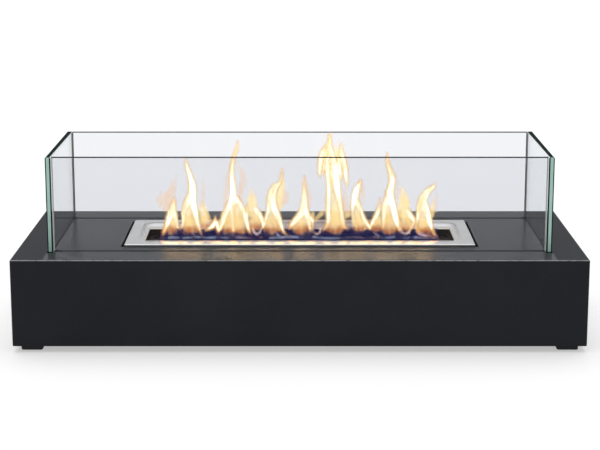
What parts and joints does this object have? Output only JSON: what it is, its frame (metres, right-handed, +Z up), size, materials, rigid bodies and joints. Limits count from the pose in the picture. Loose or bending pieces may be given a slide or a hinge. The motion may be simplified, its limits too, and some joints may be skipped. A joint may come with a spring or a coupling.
{
  "type": "bioethanol fireplace",
  "caption": "Tabletop ethanol fireplace: low black steel box on feet, glass panes in deck slots, and a lift-out stainless burner with a sloping recess.",
  "frame": {"origin": "on the surface that the feet stand on, under the middle of the housing", "axes": "+X along the length to the right, +Y to the back (the front faces -Y), +Z up"},
  "size_m": [0.6, 0.25, 0.2],
  "materials": {
    "black_powder_coat": "satin",
    "black_zinc": "matte",
    "stainless": "satin",
    "dark_stainless": "satin",
    "zinc_plate": "satin",
    "clear_glass": "polished",
    "black_rubber": "matte",
    "gasket_tape": "matte",
    "ceramic_fibre": "matte"
  },
  "bodies": {
    "housing": {"housing": "black_powder_coat", "burner_frame": "black_zinc", "burner_gasket": "gasket_tape", "glass_channel_front": "black_zinc", "glass_channel_back": "black_zinc", "glass_channel_left": "black_zinc", "glass_channel_right": "black_zinc", "pane_seal_front": "black_rubber", "pane_seal_back": "black_rubber", "pane_seal_left": "black_rubber", "pane_seal_right": "black_rubber", "base_plate": "black_powder_coat", "base_bracket_1": "black_zinc", "base_bracket_2": "black_zinc", "base_bracket_3": "black_zinc", "base_bracket_4": "black_zinc", "base_bracket_5": "black_zinc", "base_bracket_6": "black_zinc", "base_screw_1": "zinc_plate", "base_screw_2": "zinc_plate", "base_screw_3": "zinc_plate", "base_screw_4": "zinc_plate", "base_screw_5": "zinc_plate", "base_screw_6": "zinc_plate", "foot_front_left": "black_rubber", "foot_front_right": "black_rubber", "foot_back_left": "black_rubber", "foot_back_right": "black_rubber", "foot_screw_front_left": "zinc_plate", "foot_screw_front_right": "zinc_plate", "foot_screw_back_left": "zinc_plate", "foot_screw_back_right": "zinc_plate", "foot_nut_front_left": "zinc_plate", "foot_nut_front_right": "zinc_plate", "foot_nut_back_left": "zinc_plate", "foot_nut_back_right": "zinc_plate"},
    "burner": {"burner_tray": "stainless", "fuel_tank": "dark_stainless", "ceramic_pad": "ceramic_fibre", "wick_screen": "dark_stainless"},
    "front_pane": {"pane_front": "clear_glass"},
    "back_pane": {"pane_back": "clear_glass"},
    "left_pane": {"pane_left": "clear_glass"},
    "right_pane": {"pane_right": "clear_glass"}
  },
  "joints": [
    {"name": "burner_lift", "type": "slide", "parent": "housing", "child": "burner", "axis": [0, 0, 1], "range_m": [0, 0.17]},
    {"name": "front_pane_lift", "type": "slide", "parent": "housing", "child": "front_pane", "axis": [0, 0, 1], "range_m": [0, 0.12]},
    {"name": "back_pane_lift", "type": "slide", "parent": "housing", "child": "back_pane", "axis": [0, 0, 1], "range_m": [0, 0.12]},
    {"name": "left_pane_lift", "type": "slide", "parent": "housing", "child": "left_pane", "axis": [0, 0, 1], "range_m": [0, 0.12]},
    {"name": "right_pane_lift", "type": "slide", "parent": "housing", "child": "right_pane", "axis": [0, 0, 1], "range_m": [0, 0.12]}
  ]
}
